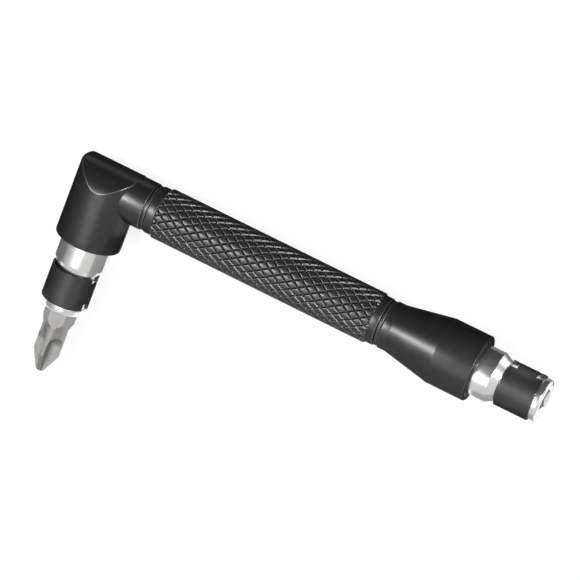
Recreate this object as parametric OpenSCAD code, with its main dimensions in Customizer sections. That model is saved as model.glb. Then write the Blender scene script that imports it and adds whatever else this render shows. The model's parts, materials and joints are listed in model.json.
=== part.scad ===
// Offset screwdriver with a 1/4 inch hex bit holder on each end.
// It lies on its side: the handle runs along +X, the bit along -Y, and +Z is up.
// The origin is under the middle of the whole tool, on the surface it lies on.

/* [Angle head] */
// Diameter of the upright head
head_d = 14.9; // [13.5:0.1:17]
// From the handle's axis down to the head's lower rim
head_drop = 13.3; // [12:0.1:18]
// From the handle's axis up to the ridge of the barrel vault that roofs the head
roof_h = 5.4; // [4.8:0.1:6.5]
// How much larger the vault's radius is than the head's
vault_extra = 0.45; // [0.1:0.05:2]
// Round where the vault's ridge meets the outer wall
roof_round = 1.6; // [0.5:0.1:3]
// Chamfer of the lower rim
rim_chamfer = 0.3; // [0.1:0.05:0.8]
// From the head's axis to the shoulder of the neck
neck_reach = 10.5; // [9:0.1:16]

/* [Grip] */
// Diameter of the neck, the grip's collars and the root of the bell
stock_d = 10.9; // [10:0.1:12.5]
// Length of the grip between the two shoulders
grip_len = 58.2; // [40:0.1:90]
// Diameter of the spigots that enter the grip
spigot_d = 8; // [6:0.1:8.6]
// Length of each spigot
spigot_len = 9; // [5:0.1:14]
// Width of each fine groove beside a seam ring
seam_groove_w = 0.25; // [0.15:0.05:0.5]
// Depth of those grooves
seam_groove_depth = 0.5; // [0.3:0.05:0.7]
// Width of the seam ring between the two grooves
seam_ring_w = 0.6; // [0.4:0.05:1.5]
// How far the seam ring lies under the collar
seam_ring_drop = 0.22; // [0.1:0.02:0.28]
// Width of the plain collar between the seam and the knurl
collar_w = 1.75; // [1:0.05:4]
// Step from the collar up to the bottom of the knurl's grooves
knurl_step = 0.04; // [0.03:0.01:0.3]
// Depth of the knurl's grooves
knurl_depth = 0.33; // [0.2:0.01:0.5]
// Diamonds round the grip
knurl_around = 18; // [12:1:22]
// Diamonds along the grip
knurl_along = 17.5; // [10:0.5:22]
// Share of each diamond that is left as a flat top
flat_share = 0.6; // [0.4:0.02:0.8]
// Length over which the knurl's ends are bevelled
knurl_bevel = 0.35; // [0.1:0.05:1]

/* [End bell] */
// Diameter of the bell
bell_d = 15.1; // [13.5:0.1:18]
// Length of the straight root of the bell
bell_root_len = 1.9; // [1:0.1:5]
// Length of the bell's cone
bell_cone_len = 10.9; // [6:0.1:20]
// Length of the bell's cylinder
bell_cyl_len = 9.1; // [6:0.1:16]
// Chamfer of the bell's end rim
bell_chamfer = 0.35; // [0.1:0.05:0.8]

/* [Bit sockets] */
// Length of a socket from its pressed-in end to its mouth
socket_len = 25.5; // [23:0.1:28]
// How far the head's socket stands out
head_socket_out = 17; // [15:0.1:19]
// How far the tail's socket stands out
tail_socket_out = 15.6; // [14:0.1:19]
// Diameter of the socket's base
base_d = 11.4; // [10.6:0.1:12]
// Round at the end of the base
base_round = 0.5; // [0.1:0.05:0.7]
// Length of the taper from the base to the band's groove
taper_len = 1.7; // [1:0.1:2.5]
// Diameter at the bottom of the band's groove
groove_d = 9.3; // [8.9:0.05:9.6]
// How much the front lip stands above the groove, on the radius
lip_rise = 0.15; // [0.05:0.05:0.3]
// Length of the front lip
lip_len = 1.75; // [1:0.05:3]
// Round on the outer edge of the lip
lip_round = 0.6; // [0.1:0.05:0.8]
// Depth of the lead-in cone at the mouth
lead_in = 0.45; // [0.2:0.05:0.9]

/* [Spring bands] */
// Thickness of a band
band_t = 0.42; // [0.3:0.02:0.6]
// Width of a band
band_w = 7.8; // [7:0.1:9.5]
// Width of the tongue that closes the split
tongue_w = 4.4; // [3:0.1:6]
// Gap on each side of the tongue, between it and the prongs on the other end of the band
tongue_gap = 0.6; // [0.2:0.05:1.2]
// Angle of the shoulders beside the tongue, round the socket
shoulder_angle = 22; // [15:1:40]
// Angle of the prongs' tips
prong_angle = -4; // [-10:1:8]
// Angle of the tongue's tip
tongue_angle = -20; // [-28:1:-14]
// Angle of the bottom of the slot that takes the tongue
slot_angle = -30; // [-45:1:-30]

/* [Detent balls] */
// Diameter of a ball
ball_d = 2; // [1.6:0.05:2.2]
// How far a ball stands into an empty socket, past where a bit's flat would be
ball_reach = 0.25; // [0.15:0.01:0.3]
// Point angle of the drill that leaves a ball's seat
seat_angle = 118; // [100:1:130]

/* [Bit] */
// Hex across flats
hex_af = 6.35; // [5:0.05:6.6]
// Length of the bit
bit_len = 25; // [22:0.5:50]
// How far the bit reaches into its socket
bit_in = 8.9; // [7.6:0.1:11]
// Direction of one flat of the hex, round the socket
hex_angle = 21; // [0:1:59]
// Length of the plain hex outside the socket
hex_out = 2.7; // [1:0.1:5]
// Half angle of the cone that ends the hex
cone_angle = 20; // [12:1:45]
// How far the round shank lies under the flats of the hex
shank_cut = 0.175; // [0.1:0.005:0.6]
// Chamfer at the bit's inner end
bit_chamfer = 0.8; // [0.3:0.1:1.2]
// Half angle of the cross point
point_angle = 25; // [20:0.5:30]
// Diameter of the blunt end of the point
point_d = 1.9; // [1.2:0.1:2.6]
// Height of the shallow cone on the blunt end
point_cap = 0.35; // [0.1:0.05:0.6]
// Thickness of the four wings where the flutes are deepest
wing_t = 0.9; // [0.6:0.05:1.4]
// How far from the tip the flutes are deepest
flute_reach = 1; // [0:0.1:2]
// Radius of the wheel that grinds the flutes
wheel_r = 10; // [8:0.5:12]
// Length of the flutes from the tip
flute_len = 7.9; // [7.4:0.1:8.5]
// Radius of the smaller wheel that gives the flutes their steep ends
end_wheel_r = 5; // [4:0.5:6]
// Turn of the wings from a flat of the hex
wing_angle = 9; // [0:1:44]

/* [Clearances] */
// Gap between a bit and a socket on each flat
hex_gap = 0.05; // [0.02:0.01:0.1]
// Gap round a spigot in the grip
spigot_gap = 0.04; // [0.02:0.01:0.1]
// Gap round a pressed-in socket
press_gap = 0.01; // [0.01:0.005:0.03]
// Gap round a ball in its hole
ball_gap = 0.05; // [0.02:0.01:0.1]
// Gap between pieces that bear on each other
touch_gap = 0.01; // [0.005:0.005:0.03]
// Gap on each side of a band in its groove
band_gap = 0.1; // [0.05:0.01:0.2]
// Gap between the bottom of a hole and what enters it
floor_gap = 0.05; // [0.02:0.01:0.5]

/* [Hidden] */
$fn = 96;
black_satin = [0.1, 0.1, 0.105];
chrome = [0.8, 0.8, 0.79];
band_black = [0.17, 0.17, 0.17];
ball_steel = [0.7, 0.7, 0.72];
bit_steel = [0.6, 0.6, 0.58];
// How far a cutting solid runs past what it cuts
past = 1;

head_r = head_d / 2;
vault_r = head_r + vault_extra;
stock_r = stock_d / 2;
spigot_r = spigot_d / 2;

grip_end = neck_reach + grip_len;
knurl_from = neck_reach + 2 * seam_groove_w + seam_ring_w + collar_w;
knurl_to = grip_end - (knurl_from - neck_reach);
knurl_root = stock_r + knurl_step;
knurl_r = knurl_root + knurl_depth;
// Rows of half diamonds along the knurl
knurl_rows = round(2 * knurl_along);
// How far the knurl's ends dip under the collars, on the radius
dip_depth = 0.05;
knurl_seat = stock_r - dip_depth;
// How far the collars run over the bevels, so that they meet halfway down the dip
collar_lap = knurl_bevel * dip_depth / (knurl_r - knurl_seat) / 2;

bell_end = grip_end + bell_root_len + bell_cone_len + bell_cyl_len;
head_mouth = head_drop + head_socket_out;
tail_mouth = bell_end + tail_socket_out;
bit_out = bit_len - bit_in;
bit_tip = head_mouth + bit_out;

groove_r = groove_d / 2;
lip_r = groove_r + lip_rise;
groove_len = band_w + 2 * band_gap;
socket_af = hex_af + 2 * hex_gap;
hex_depth = bit_in + floor_gap;
ball_r = ball_d / 2;
ball_set = lip_len + groove_len / 2;
ball_angle = hex_angle + 180;
ball_in = hex_af / 2 - ball_reach + ball_r;
ball_out = hex_af / 2 + touch_gap + ball_r;

// The crossing of the two axes, placed so that the origin is under the middle of the tool
back_reach = max(bell_d / 2, knurl_r, roof_h);
elbow = [(head_r - tail_mouth) / 2, (bit_tip - back_reach) / 2, max(bell_d, head_d) / 2];

// Frame of the head: Z runs down the head's axis to the bit, X along the handle
module at_head() { translate(elbow) rotate([90, 0, 0]) children(); }

// Frame of the handle: Z runs along the handle to the tail, X is the side away from the bit
module at_handle() { translate(elbow) rotate([90, 0, 90]) children(); }

module at_head_mouth() { at_head() translate([0, 0, head_mouth]) children(); }

module at_tail_mouth() { at_handle() translate([0, 0, tail_mouth]) children(); }

// Outline of a turned bar from z0 to z1, with its last outer corner rounded
module rounded_outline(r, z0, z1, round_r) {
    difference() {
        translate([0, z0]) square([r, z1 - z0]);
        difference() {
            translate([r - round_r, z1 - round_r]) square(round_r + past);
            translate([r - round_r, z1 - round_r]) circle(r = round_r);
        }
    }
}

// Outline of the head, drawn upwards, with its ridge's round at the top and its rim's chamfer below
module head_outline() {
    difference() {
        rounded_outline(head_r, -head_drop, roof_h, roof_round);
        translate([head_r, -head_drop]) rotate(45) square(rim_chamfer * sqrt(2), center = true);
    }
}

module rod(r, from, to) { translate([0, 0, from]) cylinder(r = r, h = to - from); }

module angle_head() {
    vault_z = vault_r - roof_h;
    color(black_satin) at_head() difference() {
        union() {
            intersection() {
                mirror([0, 0, 1]) rotate_extrude() head_outline();
                union() {
                    translate([0, 0, vault_z]) rotate([0, 90, 0])
                        cylinder(r = vault_r, h = 2 * (head_r + past), center = true);
                    translate([-head_r - past, -vault_r, vault_z])
                        cube([2 * (head_r + past), 2 * vault_r, head_drop - vault_z + past]);
                }
            }
            rotate([0, 90, 0]) rod(stock_r, 0, neck_reach);
            rotate([0, 90, 0]) rod(spigot_r, 0, neck_reach + spigot_len);
        }
        rod(base_d / 2 + press_gap, head_mouth - socket_len, head_drop + past);
    }
}

// A point of the knurled skin, i half diamonds along the grip and j half diamonds round it
function skin_point(i, j, r) =
    let (a = j * 180 / knurl_around)
    let (half_along = (knurl_to - knurl_from - 2 * knurl_bevel) / knurl_rows)
    let (step = min(max(i, 0), knurl_rows))
    [r * cos(a), r * sin(a), knurl_from + knurl_bevel + step * half_along];

// Every second crossing of the half-diamond grid is a groove crossing, and the others are diamonds
function crossing_column(i, m) = 2 * m + i % 2;
function diamond_column(i, m) = 2 * m + 1 - i % 2;
function crossing(i, j) = i * knurl_around + floor(((j + 2 * knurl_around) % (2 * knurl_around)) / 2);

// The two triangles of a strip's side from a to b, whose other edge runs from c to d
function strip(a, b, c, d) = [[a, b, d], [a, d, c]];

module knurled_bar() {
    crossings = [for (i = [0:knurl_rows], m = [0:knurl_around - 1])
        skin_point(i, crossing_column(i, m), knurl_root)];
    tops = [for (i = [0:knurl_rows], m = [0:knurl_around - 1], k = [0:3])
        let (j = diamond_column(i, m))
        let (di = [flat_share, 0, -flat_share, 0][k])
        let (dj = [0, flat_share, 0, -flat_share][k])
        skin_point(i + di, j + dj, knurl_r)];
    skin_points = concat(crossings, tops);
    first_top = len(crossings);
    skin = [for (i = [0:knurl_rows], m = [0:knurl_around - 1])
        let (j = diamond_column(i, m))
        let (t = first_top + 4 * (i * knurl_around + m))
        let (corners = [i < knurl_rows ? crossing(i + 1, j) : -1, crossing(i, j + 1),
            i > 0 ? crossing(i - 1, j) : -1, crossing(i, j - 1)])
        each concat(strip(t + 1, t, t + 2, t + 3),
            [for (k = [0:3])
                let (n = (k + 1) % 4)
                if (corners[k] >= 0 && corners[n] >= 0)
                each strip(t + k, t + n, corners[k], corners[n])])];
    near_edge = [for (m = [0:knurl_around - 1])
        let (t = first_top + 4 * m)
        each [crossing(0, 2 * m), t + 3, t + 2, t + 1]];
    far_edge = [for (m = [knurl_around - 1:-1:0])
        let (t = first_top + 4 * (knurl_rows * knurl_around + m))
        each [crossing(knurl_rows, diamond_column(knurl_rows, m) + 1), t + 1, t, t + 3]];
    edges = concat(near_edge, far_edge);
    side = len(near_edge);
    ends = [for (n = [0:2 * side - 1])
        let (p = skin_points[edges[n]])
        let (s = knurl_seat / norm([p.x, p.y]))
        [s * p.x, s * p.y, n < side ? knurl_from : knurl_to]];
    first_end = len(skin_points);
    bevels = [for (first = [0, side], n = [0:side - 1])
        let (a = first + n)
        let (b = first + (n + 1) % side)
        each strip(edges[a], edges[b], first_end + a, first_end + b)];
    caps = [for (first = [0, side]) [for (n = [0:side - 1]) first_end + first + n]];
    polyhedron(points = concat(skin_points, ends), faces = concat(skin, bevels, caps));
}

// Plain end of the grip: seam groove, seam ring, seam groove and collar, from z = 0 up to the knurl
module grip_end_turning() {
    floor_r = stock_r - seam_groove_depth;
    ring_from = seam_groove_w;
    ring_to = ring_from + seam_ring_w;
    collar_from = ring_to + seam_groove_w;
    rod(floor_r, 0, collar_from + past);
    rod(stock_r - seam_ring_drop, ring_from, ring_to);
    rod(stock_r, collar_from, knurl_from - neck_reach + collar_lap);
}

module knurled_grip() {
    color(black_satin) at_handle() difference() {
        union() {
            knurled_bar();
            translate([0, 0, neck_reach]) grip_end_turning();
            translate([0, 0, grip_end]) mirror([0, 0, 1]) grip_end_turning();
        }
        rod(spigot_r + spigot_gap, neck_reach - past, neck_reach + spigot_len + floor_gap);
        rod(spigot_r + spigot_gap, grip_end - spigot_len - floor_gap, grip_end + past);
    }
}

module end_bell() {
    root_end = grip_end + bell_root_len;
    cone_end = root_end + bell_cone_len;
    bell_r = bell_d / 2;
    color(black_satin) at_handle() difference() {
        union() {
            rotate_extrude() polygon([[0, grip_end], [stock_r, grip_end], [stock_r, root_end],
                [bell_r, cone_end], [bell_r, bell_end - bell_chamfer], [bell_r - bell_chamfer, bell_end],
                [0, bell_end]]);
            rod(spigot_r, grip_end - spigot_len, grip_end + past);
        }
        rod(base_d / 2 + press_gap, tail_mouth - socket_len, bell_end + past);
    }
}

module hex_prism(af, from, to) {
    rotate(hex_angle - 30) translate([0, 0, from]) cylinder(d = af / cos(30), h = to - from, $fn = 6);
}

// Places its children on a ball's axis, at a distance from the socket's own axis
module on_ball_axis(out) {
    translate([0, 0, -ball_set]) rotate([0, 90, ball_angle]) translate([0, 0, out]) children();
}

// Hole for a ball: a drilled bore whose point stops short and leaves a seat
module ball_hole() {
    half = seat_angle / 2;
    bore_r = ball_r + ball_gap;
    apex = ball_in - (ball_r + touch_gap) / sin(half);
    on_ball_axis(apex) rotate_extrude()
        polygon([[0, 0], [bore_r, bore_r / tan(half)], [bore_r, base_d], [0, base_d]]);
}

// Outline of a socket with its mouth at z = 0: base, taper, groove for the band, and lip
module socket_outline() {
    base_r = base_d / 2;
    groove_from = -lip_len - groove_len;
    base_to = groove_from - taper_len;
    rounded_outline(base_r, -socket_len, base_to, base_round);
    polygon([[0, base_to - base_round], [base_r - base_round, base_to - base_round],
        [base_r - base_round, base_to], [groove_r, groove_from], [groove_r, -lip_round], [0, -lip_round]]);
    rounded_outline(lip_r, -lip_len, 0, lip_round);
}

module bit_socket() {
    lead_r = socket_af / 2 / cos(30) + lead_in / 2;
    color(chrome) difference() {
        rotate_extrude() socket_outline();
        hex_prism(socket_af, -hex_depth, past);
        translate([0, 0, -lead_in]) cylinder(r1 = lead_r - lead_in, r2 = lead_r + past, h = lead_in + past);
        ball_hole();
    }
}

module head_socket() { at_head_mouth() bit_socket(); }

module tail_socket() { at_tail_mouth() bit_socket(); }

// Sector that cuts a band between two angles and two heights
module band_sector(from, to, z0, z1) {
    reach = 2 * base_d;
    translate([0, 0, z0]) linear_extrude(z1 - z0)
        polygon([[0, 0], [reach * cos(from), reach * sin(from)], [reach * cos(to), reach * sin(to)]]);
}

// Split band sprung over a ball whose outer pole is at the given distance from the socket's axis
module spring_band(ball_pole) {
    near_face = groove_r + band_gap / 2;
    far_face = ball_pole + touch_gap;
    inner_r = (near_face + far_face) / 2;
    shift = (far_face - near_face) / 2;
    half_w = band_w / 2;
    half_tongue = tongue_w / 2;
    half_slot = half_tongue + tongue_gap;
    corner_h = half_w - half_tongue + past;
    color(band_black) translate([0, 0, -ball_set]) difference() {
        rotate(ball_angle) translate([shift, 0, 0]) difference() {
            rod(inner_r + band_t, -half_w, half_w);
            rod(inner_r, -half_w - past, half_w + past);
        }
        band_sector(slot_angle, tongue_angle, -half_slot, half_slot);
        for (low = [-half_slot, half_tongue])
            band_sector(slot_angle, shoulder_angle, low, low + half_slot - half_tongue);
        for (low = [-half_w - past, half_tongue])
            band_sector(prong_angle, shoulder_angle, low, low + corner_h);
    }
}

module head_spring_band() { at_head_mouth() spring_band(ball_out + ball_r); }

module tail_spring_band() { at_tail_mouth() spring_band(ball_in + ball_r); }

module detent_ball(out) { color(ball_steel) on_ball_axis(out) sphere(r = ball_r); }

module head_detent_ball() { at_head_mouth() detent_ball(ball_out); }

module tail_detent_ball() { at_tail_mouth() detent_ball(ball_in); }

// Grinding wheel with a right-angled edge, which comes nearest to the bit's axis at a distance from the tip
module wheel(r, edge_at, reach) {
    translate([edge_at + r, 0, bit_out - reach]) rotate([90, 0, 0]) rotate_extrude()
        polygon([[0, -r], [r, 0], [0, r]]);
}

// One flute of the cross point, cut by both wheels into a shank of radius r
module flute(edge_at, r) {
    rise = end_wheel_r - r + edge_at;
    wheel(wheel_r, edge_at, flute_reach);
    wheel(end_wheel_r, edge_at, flute_len - sqrt(end_wheel_r * end_wheel_r - rise * rise));
}

module screwdriver_bit() {
    corner_r = hex_af / 2 / cos(30);
    shank_r = hex_af / 2 - shank_cut;
    point_r = point_d / 2;
    cone_to = hex_out + (corner_r - shank_r) / tan(cone_angle);
    point_from = bit_out - point_cap - (shank_r - point_r) / tan(point_angle);
    color(bit_steel) at_head_mouth() difference() {
        intersection() {
            hex_prism(hex_af, -bit_in, bit_out);
            rotate_extrude() polygon([[0, -bit_in], [corner_r - bit_chamfer, -bit_in],
                [corner_r + past, -bit_in + bit_chamfer + past],
                [corner_r + past, hex_out - past / tan(cone_angle)], [shank_r, cone_to],
                [shank_r, point_from], [point_r, bit_out - point_cap], [0, bit_out]]);
        }
        for (k = [0:3]) rotate(hex_angle + 60 + wing_angle + 45 + 90 * k)
            flute(wing_t / sqrt(2), shank_r);
    }
}

angle_head();
knurled_grip();
end_bell();
head_socket();
tail_socket();
head_spring_band();
tail_spring_band();
head_detent_ball();
tail_detent_ball();
screwdriver_bit();
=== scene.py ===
"""Offset screwdriver: the fine forms, finishes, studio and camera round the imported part."""

import json
import math

import bmesh
import bpy
from mathutils import Matrix, Quaternion, Vector
from mathutils.geometry import interpolate_bezier


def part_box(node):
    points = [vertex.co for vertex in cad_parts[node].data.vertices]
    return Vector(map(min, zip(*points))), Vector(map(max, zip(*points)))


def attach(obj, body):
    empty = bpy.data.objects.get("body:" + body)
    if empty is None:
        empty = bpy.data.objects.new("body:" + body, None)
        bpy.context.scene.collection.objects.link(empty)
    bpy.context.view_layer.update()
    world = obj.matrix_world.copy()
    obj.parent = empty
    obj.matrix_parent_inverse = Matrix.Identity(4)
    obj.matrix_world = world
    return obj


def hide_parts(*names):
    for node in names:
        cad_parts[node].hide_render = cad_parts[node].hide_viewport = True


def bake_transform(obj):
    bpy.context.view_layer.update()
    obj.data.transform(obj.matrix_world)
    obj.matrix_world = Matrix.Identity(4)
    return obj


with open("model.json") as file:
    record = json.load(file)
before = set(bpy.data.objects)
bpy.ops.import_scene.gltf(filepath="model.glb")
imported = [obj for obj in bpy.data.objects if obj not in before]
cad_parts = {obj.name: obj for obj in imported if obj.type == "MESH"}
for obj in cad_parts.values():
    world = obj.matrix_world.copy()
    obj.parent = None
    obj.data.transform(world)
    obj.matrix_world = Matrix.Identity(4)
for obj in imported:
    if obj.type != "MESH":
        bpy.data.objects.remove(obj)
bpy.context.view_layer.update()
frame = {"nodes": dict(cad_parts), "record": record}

# Forms are drawn in millimetres and scaled to metres when they are placed
MM = 0.001


# Places and sizes taken from the frame
def node_box(node):
    """Low and high corner of a solid's box, in millimetres."""
    low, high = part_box(node)
    return low / MM, high / MM


def middle(node):
    """Middle of a solid's box, in millimetres."""
    low, high = node_box(node)
    return (low + high) / 2


MOUNTS = {mount["name"]: Vector(mount["pos_m"]) / MM for mount in frame["record"]["mounts"]}
HEAD_MOUTH = MOUNTS["head_hex_socket"]
TAIL_MOUTH = MOUNTS["tail_hex_socket"]
# The head's axis crosses the handle's axis at the elbow
ELBOW = Vector((HEAD_MOUTH.x, TAIL_MOUTH.y, TAIL_MOUTH.z))

HEAD_LOW, HEAD_HIGH = node_box("angle_head")
GRIP_LOW, GRIP_HIGH = node_box("knurled_grip")
BELL_LOW, BELL_HIGH = node_box("end_bell")
HEAD_SOCKET_LOW, HEAD_SOCKET_HIGH = node_box("head_socket")

HEAD_R = (HEAD_HIGH.z - HEAD_LOW.z) / 2
HEAD_DROP = ELBOW.y - HEAD_LOW.y
STOCK_R = HEAD_HIGH.y - ELBOW.y
NECK_REACH = GRIP_LOW.x - ELBOW.x
GRIP_END = GRIP_HIGH.x - ELBOW.x
KNURL_R = (GRIP_HIGH.z - GRIP_LOW.z) / 2
BELL_R = (BELL_HIGH.z - BELL_LOW.z) / 2
BELL_END = BELL_HIGH.x - ELBOW.x
SPIGOT_LEN = HEAD_HIGH.x - GRIP_LOW.x
BORE_R = (HEAD_SOCKET_HIGH.x - HEAD_SOCKET_LOW.x) / 2
SOCKET_LEN = HEAD_SOCKET_HIGH.y - HEAD_SOCKET_LOW.y
HEAD_BORE_END = ELBOW.y - HEAD_SOCKET_HIGH.y
TAIL_BORE_END = node_box("tail_socket")[0].x - ELBOW.x
BIT_TIP = HEAD_MOUTH.y - node_box("screwdriver_bit")[0].y

# Forms that the frame doesn't give, as on the solids or closer to the photograph
SPIGOT_R = 4.0
ROOF_H = 5.4
VAULT_EXTRA = 0.45
VAULT_R = HEAD_R + VAULT_EXTRA
ROOF_ROUND = 1.6
SEAM_GROOVE_W = 0.25
SEAM_GROOVE_DEPTH = 0.5
SEAM_RING_W = 0.6
SEAM_RING_DROP = 0.22
COLLAR_W = 1.75
KNURL_AROUND = 18
KNURL_ALONG = 17.5
KNURL_DEPTH = 0.33
KNURL_BEVEL = 0.35
KNURL_DIP = 0.05
BELL_ROOT_LEN = 1.9
BELL_CONE_LEN = 10.9
BELL_CHAMFER = 0.35
TAPER_FROM = 11.75
GROOVE_FROM = 9.75
GROOVE_R = 4.65
LIP_LEN = 1.75
LIP_R = 4.8
LIP_ROUND = 0.6
LEAD_R = 3.95
HEX_R = 3.225
HEX_DEPTH = 8.95
BALL_R = 1.0
BALL_GAP = 0.05
SEAT_ANGLE = math.radians(118)
FLUTE_EDGE = 0.62
FLUTE_RUN = 7.2
FLUTE_END_R = 2.45

# Rounds on the edges
CONE_START_ROUND = 1.5
CONE_END_ROUND = 1.2
ROOF_EDGE = 0.5
EDGE_ROUND = 0.35
CREASE_ROUND = 0.3
SEAM_ROUND = 0.16
FINE_ROUND = 0.1
BIT_ROUND = 0.08
BAND_ROUND = 0.05


def placed_at(origin, x_axis, z_axis):
    """Matrix from millimetres in a piece's own frame to metres in the part's frame."""
    turn = Matrix((x_axis, z_axis.cross(x_axis), z_axis)).transposed().to_4x4()
    return Matrix.Translation(origin * MM) @ turn @ Matrix.Scale(MM, 4)


AT_HEAD = placed_at(ELBOW, Vector((1, 0, 0)), Vector((0, -1, 0)))
AT_HANDLE = placed_at(ELBOW, Vector((0, 1, 0)), Vector((1, 0, 0)))
AT_HEAD_MOUTH = placed_at(HEAD_MOUTH, Vector((1, 0, 0)), Vector((0, -1, 0)))
AT_TAIL_MOUTH = placed_at(TAIL_MOUTH, Vector((0, 1, 0)), Vector((1, 0, 0)))

# Name of the faces' attribute that says how sharply they bend
BEND = "bend"


# Mesh helpers
def rounded(outline, steps=5, shortest=1e-4):
    """Outline through (along, out, round) points, with each inner corner replaced by an arc."""
    points = [Vector((along, out, 0)) for along, out, _ in outline]
    result = [points[0]]
    for before, here, after, corner in zip(points, points[1:], points[2:], outline[1:]):
        into = (here - before).normalized()
        away = (after - here).normalized()
        turn = into.angle(away)
        reach = corner[2] * math.tan(turn / 2)
        if reach < shortest:
            result.append(here)
            continue
        handle = 4 / 3 * math.tan(turn / 4) * corner[2]
        start = here - into * reach
        end = here + away * reach
        result += interpolate_bezier(start, start + into * handle, end - away * handle, end, steps)
    result.append(points[-1])
    return [(point.x, point.y) for point in result]


def ring(along, out, columns):
    """Points of a circle round the Z axis."""
    turns = (2 * math.pi * column / columns for column in range(columns))
    return [Vector((out * math.cos(turn), out * math.sin(turn), along)) for turn in turns]


def skin(rings):
    """A closed bmesh through rings of points, with a flat face on the first and the last ring."""
    bm = bmesh.new()
    rows = [[bm.verts.new(point) for point in points] for points in rings]
    for low, high in zip(rows, rows[1:]):
        for here, there in zip(range(len(low)), [*range(1, len(low)), 0]):
            bm.faces.new((low[here], low[there], high[there], high[here]))
    bm.faces.new(reversed(rows[0]))
    bm.faces.new(rows[-1])
    return bm


def turned(outline, columns=160):
    """A turned form from its outline of (along, out, round) points."""
    return skin([ring(along, out, columns) for along, out in rounded(outline)])


def smooth(mesh, sharp_angle=30):
    """Smooth shading, but for edges sharper than an angle in degrees."""
    mesh.shade_smooth()
    mesh.set_sharp_from_angle(angle=math.radians(sharp_angle))


def new_object(name, bm):
    """A new object that takes over a bmesh."""
    mesh = bpy.data.meshes.new(name)
    bm.to_mesh(mesh)
    bm.free()
    obj = bpy.data.objects.new(name, mesh)
    bpy.context.scene.collection.objects.link(obj)
    return obj


def piece(name, bm, matrix):
    """A smooth new object from a bmesh in its own frame."""
    bmesh.ops.recalc_face_normals(bm, faces=bm.faces)
    bm.transform(matrix)
    obj = new_object(name, bm)
    smooth(obj.data)
    return obj


def combined(obj, other, operation):
    """Joins another object's solid to obj or cuts it away, and removes the other object."""
    boolean = obj.modifiers.new("combine", "BOOLEAN")
    boolean.operation = operation
    boolean.solver = "EXACT"
    boolean.object = other
    graph = bpy.context.evaluated_depsgraph_get()
    mesh = bpy.data.meshes.new_from_object(obj.evaluated_get(graph))
    obj.modifiers.clear()
    obj.data = mesh
    bpy.data.objects.remove(other)
    smooth(mesh)
    return obj


def finish_with(obj, finish, least_area=1e-12):
    """Gives a piece its finish, and each face its bend per millimetre, above zero where it is convex."""
    obj.data.materials.clear()
    obj.data.materials.append(finish)
    bm = bmesh.new()
    bm.from_mesh(obj.data)
    bends = []
    for face in bm.faces:
        bend = sum(edge.calc_face_angle_signed(0) * edge.calc_length() / 2 for edge in face.edges)
        bends.append(bend / max(face.calc_area(), least_area) * MM)
    bm.free()
    obj.data.attributes.new(BEND, "FLOAT", "FACE").data.foreach_set("value", bends)


def stands_for(obj, node, body, finish):
    """The piece takes the place and the body of a solid, which it hides, with its own finish."""
    finish_with(obj, finish)
    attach(obj, body)
    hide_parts(node)


# The angle head: a cylinder under a barrel vault, with soft edges, and its neck
def roof_height(across, out, no_crease=1e-6):
    """Height of the head's roof above the handle's axis, where the vault meets the rounded outer wall."""
    vault = ROOF_H - VAULT_R + math.sqrt(VAULT_R ** 2 - across ** 2)
    shoulder = max(0.0, out - HEAD_R + ROOF_ROUND)
    cap = ROOF_H - ROOF_ROUND + math.sqrt(max(0.0, ROOF_ROUND ** 2 - shoulder ** 2))
    crease = CREASE_ROUND * min(1.0, 2 * shoulder / ROOF_ROUND) + no_crease
    blend = max(0.0, 1 - abs(vault - cap) / crease)
    return min(vault, cap) - blend ** 2 * crease / 4


def roof_outline(slant, samples=90, arc_steps=8, step=1e-4):
    """Outline of the roof from the head's axis out to the wall, on a plane whose angle has this sine."""
    outs = [(HEAD_R - step) * math.sin(math.pi / 2 * n / samples) for n in range(samples + 1)]
    centre_out = HEAD_R - ROOF_EDGE
    outline = []
    for out in outs:
        height = roof_height(slant * out, out)
        slope = (roof_height(slant * (out + step), out + step) - height) / step
        leaning = math.atan(slope)
        centre_height = height - ROOF_EDGE * math.cos(leaning)
        if out + ROOF_EDGE * math.sin(leaning) > centre_out:
            break
        outline.append((out, height))
    for n in range(1, arc_steps + 1):
        lean = (math.pi / 2 + leaning) * (1 - n / arc_steps)
        outline.append((centre_out + ROOF_EDGE * math.cos(lean), centre_height + ROOF_EDGE * math.sin(lean)))
    return outline


def even(outline, count):
    """The same outline with a fixed count of points, spread evenly over its length from end to end."""
    points = [Vector(point) for point in outline]
    reach = [0.0]
    for before, after in zip(points, points[1:]):
        reach.append(reach[-1] + (after - before).length)
    result = []
    leg = 0
    for n in range(count):
        want = reach[-1] * n / (count - 1)
        while leg < len(points) - 2 and reach[leg + 1] < want:
            leg += 1
        share = (want - reach[leg]) / (reach[leg + 1] - reach[leg])
        result.append(points[leg].lerp(points[leg + 1], share))
    return result


def head_body(columns=256, roof_rows=110, rim_stretch=2.0):
    """The head without its neck, drawn in the head's frame with its roof towards -Z."""
    turns = [2 * math.pi * column / columns for column in range(columns)]
    roofs = [even(roof_outline(math.sin(turn))[1:], roof_rows) for turn in turns]
    rings = []
    for row in range(roof_rows):
        rings.append([
            Vector((roof[row].x * math.cos(turn), roof[row].x * math.sin(turn), -roof[row].y))
            for roof, turn in zip(roofs, turns)
        ])
    below = rounded([
        (HEAD_DROP - rim_stretch, HEAD_R, 0), (HEAD_DROP, HEAD_R, EDGE_ROUND),
        (HEAD_DROP, BORE_R, FINE_ROUND), (HEAD_BORE_END, BORE_R, 0), (HEAD_BORE_END, BORE_R / 2, 0),
    ])
    rings += [ring(along, out, columns) for along, out in below]
    return skin(rings)


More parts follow.
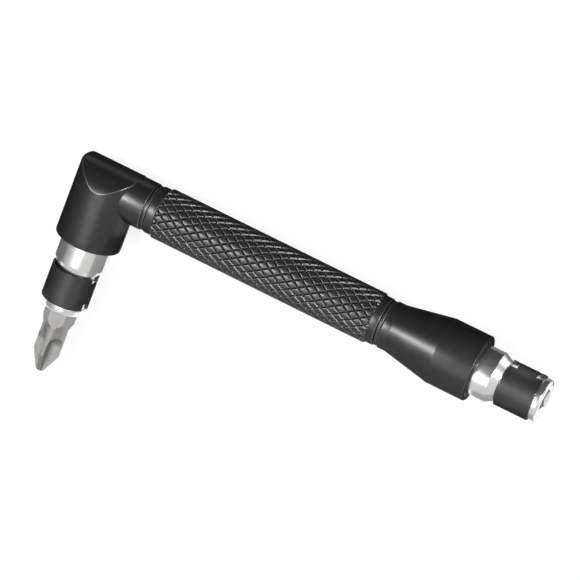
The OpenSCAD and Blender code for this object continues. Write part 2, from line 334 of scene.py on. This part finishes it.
def neck(root=1.0):
    """The neck from inside the head, with the spigot that enters the grip."""
    return turned([
        (root, STOCK_R / 2, 0), (root, STOCK_R, 0),
        (NECK_REACH, STOCK_R, SEAM_ROUND), (NECK_REACH, SPIGOT_R, 0),
        (NECK_REACH + SPIGOT_LEN, SPIGOT_R, FINE_ROUND), (NECK_REACH + SPIGOT_LEN, SPIGOT_R / 2, 0),
    ])


def head():
    return combined(piece("head", head_body(), AT_HEAD), piece("neck", neck(), AT_HANDLE), "UNION")


# The grip: a knurled bar between two collars with their seam rings
KNURL_FROM = NECK_REACH + 2 * SEAM_GROOVE_W + SEAM_RING_W + COLLAR_W
KNURL_TO = GRIP_END - (KNURL_FROM - NECK_REACH)
# Section of a groove from its bottom: share of a diamond's width, and share of the knurl's depth
GROOVE = (
    (0.0, 0.0), (0.024, 0.1), (0.066, 0.4), (0.108, 0.68), (0.143, 0.86), (0.175, 0.96), (0.202, 1.0),
)
# Where the photograph shows the lattice: along the grip from its first row, and turned round it
KNURL_SHIFT = -0.55
KNURL_TURN = math.radians(3.8)


def knurled_bar(margin=1.0, on_plane=1e-5, near_plane=1e-3):
    """The knurled bar on a grid that follows the grooves: p and q count the grooves of the two directions."""
    offsets = [share for share, _ in GROOVE] + [0.5] + [1 - share for share, _ in reversed(GROOVE[1:])]
    heights = [height for _, height in GROOVE] + [1.0] + [height for _, height in reversed(GROOVE[1:])]
    lines = len(offsets)
    period = KNURL_AROUND * lines
    start = KNURL_FROM + KNURL_BEVEL
    half_along = (KNURL_TO - KNURL_FROM - 2 * KNURL_BEVEL) / (2 * KNURL_ALONG)
    rows = int(2 * KNURL_ALONG)
    bm = bmesh.new()
    verts = {}

    def count(line):
        return line // lines + offsets[line % lines]

    def vert(p_line, q_line):
        laps, p_line = divmod(p_line, period)
        q_line += laps * period
        if (p_line, q_line) not in verts:
            p = count(p_line)
            q = count(q_line)
            out = KNURL_R - KNURL_DEPTH * (1 - min(heights[p_line % lines], heights[q_line % lines]))
            turn = math.pi * (p - q) / KNURL_AROUND + KNURL_TURN
            along = start + KNURL_SHIFT + (p + q) * half_along
            verts[p_line, q_line] = bm.verts.new((out * math.cos(turn), out * math.sin(turn), along))
        return verts[p_line, q_line]

    for p_line in range(period):
        for q_line in range(-period - 2 * lines, (rows + 2) * lines):
            from_row = count(p_line) + count(q_line)
            to_row = count(p_line + 1) + count(q_line + 1)
            if -margin < from_row and to_row < rows + margin:
                bm.faces.new((vert(p_line, q_line), vert(p_line + 1, q_line),
                              vert(p_line + 1, q_line + 1), vert(p_line, q_line + 1)))
    for cut, facing in ((start, -1), (start + rows * half_along, 1)):
        geometry = [*bm.verts, *bm.edges, *bm.faces]
        bmesh.ops.bisect_plane(bm, geom=geometry, dist=on_plane, plane_co=(0, 0, cut),
                               plane_no=(0, 0, facing), clear_outer=True)
        rim = [edge for edge in bm.edges if edge.is_boundary
               and all(abs(v.co.z - cut) < near_plane for v in edge.verts)]
        made = bmesh.ops.extrude_edge_only(bm, edges=rim)["geom"]
        for v in (part for part in made if isinstance(part, bmesh.types.BMVert)):
            v.co.xy *= (STOCK_R - KNURL_DIP) / v.co.xy.length
            v.co.z += facing * KNURL_BEVEL
        end_rim = [part for part in made if isinstance(part, bmesh.types.BMEdge)]
        bmesh.ops.contextual_create(bm, geom=end_rim)
    return bm


def grip_end():
    """Seam groove, seam ring, seam groove and collar, from the shoulder at zero up to the knurl."""
    ring_r = STOCK_R - SEAM_RING_DROP
    floor_r = STOCK_R - SEAM_GROOVE_DEPTH
    ring_to = SEAM_GROOVE_W + SEAM_RING_W
    collar_from = ring_to + SEAM_GROOVE_W
    collar_to = collar_from + COLLAR_W
    return turned([
        (0, SPIGOT_R, 0), (0, floor_r, 0), (SEAM_GROOVE_W, floor_r, 0), (SEAM_GROOVE_W, ring_r, SEAM_ROUND),
        (ring_to, ring_r, SEAM_ROUND), (ring_to, floor_r, 0), (collar_from, floor_r, 0),
        (collar_from, STOCK_R, SEAM_ROUND), (collar_to, STOCK_R, FINE_ROUND / 2), (collar_to, floor_r, 0),
        (collar_to + COLLAR_W, floor_r, 0), (collar_to + COLLAR_W, SPIGOT_R, 0),
    ])


def grip():
    """The knurled bar joined to an end piece at each side."""
    bar = piece("grip", knurled_bar(), AT_HANDLE)
    near = AT_HANDLE @ Matrix.Translation((0, 0, NECK_REACH))
    far = AT_HANDLE @ Matrix.Translation((0, 0, GRIP_END)) @ Matrix.Rotation(math.pi, 4, "X")
    combined(bar, piece("near_end", grip_end(), near), "UNION")
    combined(bar, piece("far_end", grip_end(), far), "UNION")
    return bar


# The bell: root, cone and cylinder, with the bore that takes its socket
def bell():
    cone_from = GRIP_END + BELL_ROOT_LEN
    cone_to = cone_from + BELL_CONE_LEN
    form = turned([
        (GRIP_END - SPIGOT_LEN, SPIGOT_R / 2, 0), (GRIP_END - SPIGOT_LEN, SPIGOT_R, FINE_ROUND),
        (GRIP_END, SPIGOT_R, 0), (GRIP_END, STOCK_R, SEAM_ROUND), (cone_from, STOCK_R, CONE_START_ROUND),
        (cone_to, BELL_R, CONE_END_ROUND), (BELL_END - BELL_CHAMFER, BELL_R, FINE_ROUND),
        (BELL_END, BELL_R - BELL_CHAMFER, FINE_ROUND), (BELL_END, BORE_R, FINE_ROUND),
        (TAIL_BORE_END, BORE_R, 0), (TAIL_BORE_END, BORE_R / 2, 0),
    ], columns=224)
    return piece("bell", form, AT_HANDLE)


# The bit holders: base, taper, groove for the band, lip, and a hex hole with a lead-in
def holder_body(columns=192):
    """A bit holder with its mouth at zero and a flat of its hex towards +X."""
    turns = [2 * math.pi * column / columns for column in range(columns)]
    sixth = math.pi / 3
    hex_rs = [HEX_R / math.cos((turn + sixth / 2) % sixth - sixth / 2) for turn in turns]
    outer = rounded([
        (-SOCKET_LEN, BORE_R / 2, 0), (-SOCKET_LEN, BORE_R, FINE_ROUND), (-TAPER_FROM, BORE_R, EDGE_ROUND),
        (-GROOVE_FROM, GROOVE_R, EDGE_ROUND), (-LIP_LEN, GROOVE_R, 0), (-LIP_LEN, LIP_R, FINE_ROUND),
        (0, LIP_R, LIP_ROUND), (0, LEAD_R, 0),
    ])
    rings = [ring(along, out, columns) for along, out in outer]
    for depths in ([hex_r - LEAD_R for hex_r in hex_rs], [-HEX_DEPTH] * columns):
        rings.append([
            Vector((hex_r * math.cos(turn), hex_r * math.sin(turn), depth))
            for hex_r, turn, depth in zip(hex_rs, turns, depths)
        ])
    return skin(rings)


def ball_hole(ball_out, point_r=0.01):
    """Drilled hole along +Z for a ball whose middle is at the given distance when it bears on its seat."""
    bore_r = BALL_R + BALL_GAP
    apex = ball_out - BALL_R / math.sin(SEAT_ANGLE / 2)
    shoulder = apex + bore_r / math.tan(SEAT_ANGLE / 2)
    return turned([
        (apex, point_r, 0), (shoulder, bore_r, 0), (BORE_R, bore_r, 0), (BORE_R, bore_r / 2, 0),
    ], columns=64)


def holder(name, mouth, ball_node):
    """A bit holder turned to its ball, with the hole that takes the ball."""
    ball = mouth.inverted() @ (middle(ball_node) * MM)
    # Only the tail's ball rests on its seat, as the head's is lifted by the bit
    seated = AT_TAIL_MOUTH.inverted() @ (middle("tail_detent_ball") * MM)
    facing = mouth @ Matrix.Rotation(math.atan2(ball.y, ball.x), 4, "Z")
    to_ball = facing @ Matrix.Translation((0, 0, ball.z)) @ Matrix.Rotation(math.pi / 2, 4, "Y")
    hole = piece("hole", ball_hole(seated.xy.length), to_ball)
    return combined(piece(name, holder_body(), facing), hole, "DIFFERENCE")


# The bit and the bands: copies of their solids with softened edges, and deeper flutes on the bit
def solid_copy(name, node, weld=0.001):
    """A new piece with the mesh of a solid, its doubled points welded."""
    solid = frame["nodes"][node]
    bm = bmesh.new()
    bm.from_mesh(solid.data)
    bm.transform(solid.matrix_world)
    bmesh.ops.remove_doubles(bm, verts=bm.verts, dist=weld * MM)
    return piece(name, bm, Matrix.Identity(4))


def softened(obj, width, flat_angle=0.5, sharp_angle=35, shading_angle=60):
    """Rounds a piece's sharp edges by a width in millimetres."""
    bm = bmesh.new()
    bm.from_mesh(obj.data)
    bmesh.ops.dissolve_limit(bm, angle_limit=math.radians(flat_angle), verts=bm.verts, edges=bm.edges)
    sharp = [edge for edge in bm.edges if edge.calc_face_angle(0) > math.radians(sharp_angle)]
    bmesh.ops.bevel(bm, geom=sharp, offset=width * MM, offset_type="OFFSET", segments=3, profile=0.5,
                    affect="EDGES", clamp_overlap=True)
    bm.to_mesh(obj.data)
    bm.free()
    smooth(obj.data, shading_angle)
    obj.modifiers.new("even_shading", "WEIGHTED_NORMAL").keep_sharp = True
    return obj


def flute_cutter(arc_steps=10, half_width=4.0, past_tip=1.0):
    """A right-angled cutter towards +X: straight from the tip, and then rising in an arc out of the shank."""
    path = [(BIT_TIP + past_tip, FLUTE_EDGE)]
    for n in range(arc_steps + 1):
        turn = math.pi / 2 * n / arc_steps
        along = BIT_TIP - FLUTE_RUN - FLUTE_END_R * math.sin(turn)
        path.append((along, FLUTE_EDGE + FLUTE_END_R * (1 - math.cos(turn))))
    return skin([
        [Vector((edge, 0, along)), Vector((edge + half_width, half_width, along)),
         Vector((edge + half_width, -half_width, along))]
        for along, edge in path
    ])


def bit():
    """The bit with four flutes that run at full depth to their steep ends."""
    obj = solid_copy("bit", "screwdriver_bit")
    for quarter in range(4):
        turn = Matrix.Rotation(math.pi / 4 + math.pi / 2 * quarter, 4, "Z")
        combined(obj, piece("flute", flute_cutter(), AT_HEAD_MOUTH @ turn), "DIFFERENCE")
    return softened(obj, BIT_ROUND)


def band(name, node, finish):
    """A copy of a band's solid with softened edges and its finish, in the solid's place, which it hides."""
    obj = softened(solid_copy(name, node), BAND_ROUND)
    finish_with(obj, finish)
    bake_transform(obj)
    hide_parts(node)


# Node helpers
def set_inputs(tree, node, inputs):
    """Links each named input to a socket, or sets its value."""
    for name, value in inputs.items():
        if isinstance(value, bpy.types.NodeSocket):
            tree.links.new(value, node.inputs[name])
        else:
            node.inputs[name].default_value = value


def add(tree, kind, inputs=None, **settings):
    """A new node with its settings and inputs."""
    node = tree.nodes.new(kind)
    for name, value in settings.items():
        setattr(node, name, value)
    set_inputs(tree, node, inputs or {})
    return node


def maths(tree, operation, first, second):
    return add(tree, "ShaderNodeMath", {0: first, 1: second}, operation=operation).outputs[0]


def ranged(tree, value, start, end, low=0.0, high=1.0, interpolation="LINEAR"):
    """Maps a value from start and end to low and high, and holds it there beyond them."""
    inputs = {"Value": value, "From Min": start, "From Max": end, "To Min": low, "To Max": high}
    return add(tree, "ShaderNodeMapRange", inputs, interpolation_type=interpolation).outputs["Result"]


def mixed(tree, share, first, second):
    """Colour from the first to the second by a share."""
    inputs = {"Factor": share, "A": first, "B": second}
    return add(tree, "ShaderNodeMix", inputs, data_type="RGBA").outputs["Result"]


def grey(tone):
    return (tone, tone, tone, 1)


# Finishes, with lengths in millimetres
NOISE_LOW = 0.3
NOISE_HIGH = 0.7
CLOUD_DETAIL = 4.0
GRAIN_DETAIL = 2.0
LINE_WIDTH = 0.2
LINES_FADE = 1.0
NECK_START = HEAD_R - LINES_FADE
COAT_METALLIC = 0.8
COAT_TINT = 0.25
COAT_CLOUD = 3.0
COAT_GRAIN = 0.12
COAT_GLOSS_SPREAD = 0.04
COAT_BUMP_DEPTH = 0.004
COAT_BUMP_STRENGTH = 0.25
# Bends per millimetre at which the coating starts to change and has fully changed, and the tones it takes:
# lighter on convex edges for wear and painted highlight, darker in concave creases and grooves as painted
# shade
# Wear and painted highlight: convex edges get a lighter base colour, partly rubbing and partly standing for
# the highlights that edges catch
WEAR_AND_HIGHLIGHT_BEND = (1.0, 4.0)
WEAR_AND_HIGHLIGHT_TONE = 0.15
# Painted shade: concave creases and the knurl's grooves get a darker base colour that stands for the shade
# falling there
PAINTED_SHADE_BEND = (-1.0, -5.0)
PAINTED_SHADE_TONE = 0.03
METAL_BUMP_DEPTH = 0.002
METAL_BUMP_STRENGTH = 0.1
METAL_GRAIN_SHARE = 1 / 8


def new_material(name):
    """A new material with its node tree and its shader."""
    material = bpy.data.materials.new(name)
    material.use_nodes = True
    return material, material.node_tree, material.node_tree.nodes["Principled BSDF"]


def noise(tree, place, size, detail):
    """Noise with grains of about the given size."""
    inputs = {"Vector": place, "Scale": 1 / (size * MM), "Detail": detail}
    return add(tree, "ShaderNodeTexNoise", inputs).outputs["Fac"]


def surface_noise(tree, size, detail):
    return noise(tree, add(tree, "ShaderNodeTexCoord").outputs["Object"], size, detail)


def between(tree, value, low, high):
    """Spreads noise, which lies mostly in the middle of its range, from low to high."""
    return ranged(tree, value, NOISE_LOW, NOISE_HIGH, low, high)


def shade(tree, value, dark, light):
    """Colour between two others, by noise."""
    return mixed(tree, between(tree, value, 0.0, 1.0), (*dark, 1), (*light, 1))


def rough_bump(tree, value, depth, strength):
    inputs = {"Height": value, "Distance": depth * MM, "Strength": strength}
    return add(tree, "ShaderNodeBump", inputs).outputs["Normal"]


def turned_lines(tree, start):
    """Fine lines left by turning, round the handle's axis, from a distance along it."""
    place = add(tree, "ShaderNodeTexCoord").outputs["Object"]
    along = add(tree, "ShaderNodeVectorMath", {0: place, 1: (1, 0, 0)}, operation="MULTIPLY")
    lines = noise(tree, along.outputs["Vector"], LINE_WIDTH, GRAIN_DETAIL)
    reach = add(tree, "ShaderNodeSeparateXYZ", {"Vector": place}).outputs["X"]
    lines_from = ELBOW.x + start
    share = ranged(tree, reach, lines_from * MM, (lines_from + LINES_FADE) * MM)
    return maths(tree, "MULTIPLY", lines, share)


def bent(tree, slight, full):
    """From zero where faces bend slightly to one where they bend fully."""
    return ranged(tree, add(tree, "ShaderNodeAttribute", attribute_name=BEND).outputs["Fac"], slight, full)


def satin_black(name, dark, light, rough, turned_from):
    """Black coating on metal: cloudy in tone, finely grained, worn and with painted highlight at its convex
    edges, and with painted shade in its grooves and creases.
    """
    material, tree, shader = new_material(name)
    cloud = surface_noise(tree, COAT_CLOUD, CLOUD_DETAIL)
    fine = surface_noise(tree, COAT_GRAIN, GRAIN_DETAIL)
    # Convex edges turn lighter in colour: wear, and painted highlight
    worn_and_highlit = mixed(tree, bent(tree, *WEAR_AND_HIGHLIGHT_BEND), shade(tree, cloud, dark, light), grey(WEAR_AND_HIGHLIGHT_TONE))
    height = maths(tree, "ADD", fine, turned_lines(tree, turned_from))
    set_inputs(tree, shader, {
        "Metallic": COAT_METALLIC,
        "Specular Tint": grey(COAT_TINT),
        # Painted shade: the base colour turns darker in concave creases and grooves
        "Base Color": mixed(tree, bent(tree, *PAINTED_SHADE_BEND), worn_and_highlit, grey(PAINTED_SHADE_TONE)),
        "Roughness": between(tree, fine, rough - COAT_GLOSS_SPREAD, rough + COAT_GLOSS_SPREAD),
        "Normal": rough_bump(tree, height, COAT_BUMP_DEPTH, COAT_BUMP_STRENGTH),
    })
    return material


def bare_metal(name, dark, light, rough, spread, cloud_size):
    """Metal whose tone and gloss wander a little."""
    material, tree, shader = new_material(name)
    cloud = surface_noise(tree, cloud_size, CLOUD_DETAIL)
    fine = surface_noise(tree, cloud_size * METAL_GRAIN_SHARE, GRAIN_DETAIL)
    set_inputs(tree, shader, {
        "Metallic": 1.0,
        "Base Color": shade(tree, cloud, dark, light),
        "Roughness": between(tree, cloud, rough - spread, rough + spread),
        "Normal": rough_bump(tree, fine, METAL_BUMP_DEPTH, METAL_BUMP_STRENGTH),
    })
    return material


# A black finish ends with the place where its turned lines start: the neck, the elbow or the bell's end
BLACK_BODY = satin_black("satin_black", (0.046, 0.046, 0.046), (0.057, 0.057, 0.058), 0.33, NECK_START)
BLACK_KNURL = satin_black("knurl_black", (0.048, 0.048, 0.048), (0.063, 0.063, 0.064), 0.36, 0)
BLACK_SPRING = satin_black("spring_black", (0.056, 0.056, 0.056), (0.07, 0.07, 0.069), 0.38, BELL_END)
CHROME = bare_metal("chrome_plate", (0.88, 0.88, 0.87), (0.94, 0.94, 0.93), 0.23, 0.03, 2.0)
BALL_STEEL = bare_metal("ball_steel", (0.6, 0.6, 0.6), (0.7, 0.7, 0.7), 0.12, 0.03, 0.5)
BIT_STEEL = bare_metal("bit_steel", (0.28, 0.276, 0.265), (0.34, 0.336, 0.322), 0.46, 0.05, 0.8)

# Pieces
stands_for(head(), "angle_head", "handle", BLACK_BODY)
stands_for(grip(), "knurled_grip", "handle", BLACK_KNURL)
stands_for(bell(), "end_bell", "handle", BLACK_BODY)
stands_for(bit(), "screwdriver_bit", "bit", BIT_STEEL)
band("head_band", "head_spring_band", BLACK_SPRING)
band("tail_band", "tail_spring_band", BLACK_SPRING)

for end, mouth in (("head", AT_HEAD_MOUTH), ("tail", AT_TAIL_MOUTH)):
    ball_node = f"{end}_detent_ball"
    stands_for(holder(f"{end}_holder", mouth, ball_node), f"{end}_socket", "handle", CHROME)
    frame["nodes"][ball_node].material_slots[0].material = BALL_STEEL

# Camera at the photograph's angle
VIEW_AZIMUTH = math.radians(61.07)
VIEW_ELEVATION = math.radians(65.32)
VIEW_ROLL = math.radians(-127.04)
VIEW_DISTANCE = 0.9
VIEW_TARGET = (ELBOW + Vector((44.34, -5.92, -7.47))) * MM
LENS = 258.0
SENSOR = 36.0

VIEW_BACK = Vector((
    math.cos(VIEW_AZIMUTH) * math.cos(VIEW_ELEVATION),
    math.sin(VIEW_AZIMUTH) * math.cos(VIEW_ELEVATION),
    math.sin(VIEW_ELEVATION),
))
camera = bpy.data.objects.new("camera", bpy.data.cameras.new("camera"))
camera.data.lens = LENS
camera.data.sensor_width = SENSOR
camera.location = VIEW_TARGET + VIEW_BACK * VIEW_DISTANCE
camera.rotation_mode = "QUATERNION"
camera.rotation_quaternion = (-VIEW_BACK).to_track_quat("-Z", "Y") @ Quaternion((0, 0, 1), VIEW_ROLL)
bpy.context.scene.collection.objects.link(camera)
bpy.context.scene.camera = camera

# Studio: a pale floor, three lamps, cards that only reflections show, and a world with a dark side
FLOOR_SIZE = 6000
FLOOR_TONE = 0.16
FLOOR_LIFT = 0.85
FAR_LIFT = 0.65
CARD_ROUGH = 0.9
# The world's levels, where it turns dark on the roof's side, and the share left beyond the head
WORLD_PALE = 0.65
WORLD_DARK = 0.08
DARK_FROM = 0.25
OUTER_SHARE = 0.5
OUTER_FROM = -0.8
OUTER_TO = -0.25


def soft_box(name, place, aim, size, watts):
    """An area light; place, aim and size are in millimetres, from the elbow."""
    lamp = bpy.data.lights.new(name, "AREA")
    lamp.shape = "RECTANGLE"
    lamp.size, lamp.size_y = (side * MM for side in size)
    lamp.energy = watts
    light = bpy.data.objects.new(name, lamp)
    light.location = (ELBOW + Vector(place)) * MM
    light.rotation_mode = "QUATERNION"
    light.rotation_quaternion = (Vector(aim) - Vector(place)).to_track_quat("-Z", "Y")
    bpy.context.scene.collection.objects.link(light)
    return light


def soft_edged(light, core=0.15, edge=0.5):
    """Lets a lamp's glow fade between two distances from its middle, as shares of its size."""
    light.data.use_nodes = True
    tree = light.data.node_tree
    spot = add(tree, "ShaderNodeNewGeometry").outputs["Parametric"]
    flat = add(tree, "ShaderNodeVectorMath", {0: spot, 1: (1, 1, 0)}, operation="MULTIPLY")
    to_middle = {0: flat.outputs["Vector"], 1: (0.5, 0.5, 0)}
    out = add(tree, "ShaderNodeVectorMath", to_middle, operation="DISTANCE")
    fade = ranged(tree, out.outputs["Value"], edge, core, interpolation="SMOOTHSTEP")
    tree.links.new(fade, tree.nodes["Emission"].inputs["Strength"])


def sheet(name, matrix, size, material):
    """A flat rectangle of the studio; size is in millimetres."""
    bm = bmesh.new()
    bmesh.ops.create_grid(bm, x_segments=1, y_segments=1, size=0.5)
    bm.transform(matrix @ Matrix.Diagonal((size[0] * MM, size[1] * MM, 1, 1)))
    obj = new_object(name, bm)
    obj.data.materials.append(material)
    return obj


def lifted(name, tone, lift):
    """A matt tone, lifted where it is seen directly, in a reflection or through something."""
    material, tree, shader = new_material(name)
    tree.nodes.remove(shader)
    paths = add(tree, "ShaderNodeLightPath").outputs
    seen = maths(tree, "MAXIMUM", paths["Is Camera Ray"], paths["Is Glossy Ray"])
    seen = maths(tree, "MAXIMUM", seen, paths["Is Transmission Ray"])
    matt = add(tree, "ShaderNodeBsdfDiffuse", {"Color": grey(tone)})
    level = maths(tree, "MULTIPLY", seen, lift)
    glow = add(tree, "ShaderNodeEmission", {"Color": grey(1), "Strength": level})
    both = add(tree, "ShaderNodeAddShader", {0: matt.outputs[0], 1: glow.outputs[0]})
    tree.links.new(both.outputs[0], tree.nodes["Material Output"].inputs["Surface"])
    return material


def card_material(name, tone):
    material, tree, shader = new_material(name)
    set_inputs(tree, shader, {"Base Color": grey(tone), "Roughness": CARD_ROUGH})
    return material


def card(name, place, size, material, turn=0.0, lean=90.0, lift=0.3):
    """A card that only reflections show; its foot's place is in millimetres from the elbow."""
    foot = Vector((ELBOW.x + place[0], ELBOW.y + place[1], lift)) * MM
    stand = Matrix.Rotation(math.radians(turn), 4, "Z") @ Matrix.Rotation(math.radians(lean), 4, "X")
    raised = Matrix.Translation((0, size[1] / 2 * MM, 0))
    obj = sheet(name, Matrix.Translation(foot) @ stand @ raised, size, material)
    obj.visible_camera = False
    obj.visible_diffuse = False
    obj.visible_shadow = False


def studio_world():
    """Pale round the bit's side of the studio, and dark on the roof's side."""
    world = bpy.data.worlds.new("studio")
    world.use_nodes = True
    tree = world.node_tree
    direction = add(tree, "ShaderNodeTexCoord").outputs["Generated"]
    parts = add(tree, "ShaderNodeSeparateXYZ", {"Vector": direction}).outputs
    side = ranged(tree, parts["Y"], 0.0, DARK_FROM, WORLD_PALE, WORLD_DARK, "SMOOTHSTEP")
    outer = ranged(tree, parts["X"], OUTER_FROM, OUTER_TO, OUTER_SHARE, 1.0, "SMOOTHSTEP")
    level = maths(tree, "MULTIPLY", side, outer)
    set_inputs(tree, tree.nodes["Background"], {"Color": grey(1), "Strength": level})
    return world


FLOOR_MIDDLE = Vector((ELBOW.x, ELBOW.y, 0)) * MM
WHITE = lifted("floor_white", FLOOR_TONE, FLOOR_LIFT)
sheet("floor", Matrix.Translation(FLOOR_MIDDLE), (FLOOR_SIZE, FLOOR_SIZE), WHITE)

# Dark cards along the roof's side and under the tool, the one under the tool a painted shadow in reflections,
# and paler ones round the head and the tail
DARK_CARD = card_material("card_dark", 0.15)
GREY_CARD = card_material("card_grey", 0.2)
PALE_CARD = card_material("card_pale", 0.5)
FAR_CARD = lifted("card_far", FLOOR_TONE, FAR_LIFT)
card("roof_card", (40.5, 10.5), (111, 13), DARK_CARD)
card("lip_card", (105, 10.5), (6, 13), DARK_CARD)
# Painted shadow: a dark card flat on the floor under the tool, seen only in reflections, stands for the
# tool's contact shadow that the glowing floor does not show
card("painted_shadow_card", (46.5, 0), (123, 10.5), DARK_CARD, lean=0)
card("ridge_card", (0, 10.2), (19, 3.5), WHITE, lift=5)
card("far_card", (150, 35), (90, 60), FAR_CARD, turn=90)
card("outer_card", (-12.5, -11), (40, 18), GREY_CARD, turn=90)
card("inner_card", (9.5, -20), (21, 13), PALE_CARD, turn=90)
card("tail_card", (99, -10), (17, 13), PALE_CARD)

soft_box("key", (-77, 38, 290), (20, 0, 0), (80, 125), 0.85)
soft_edged(soft_box("panel", (10, -105, 310), (10, -105, 0), (260, 260), 0.4))
soft_box("rim", (219, 126, 210), (45, 0, 0), (70, 70), 0.7)
bpy.context.scene.world = studio_world()
bpy.context.scene.view_settings.view_transform = "Standard"
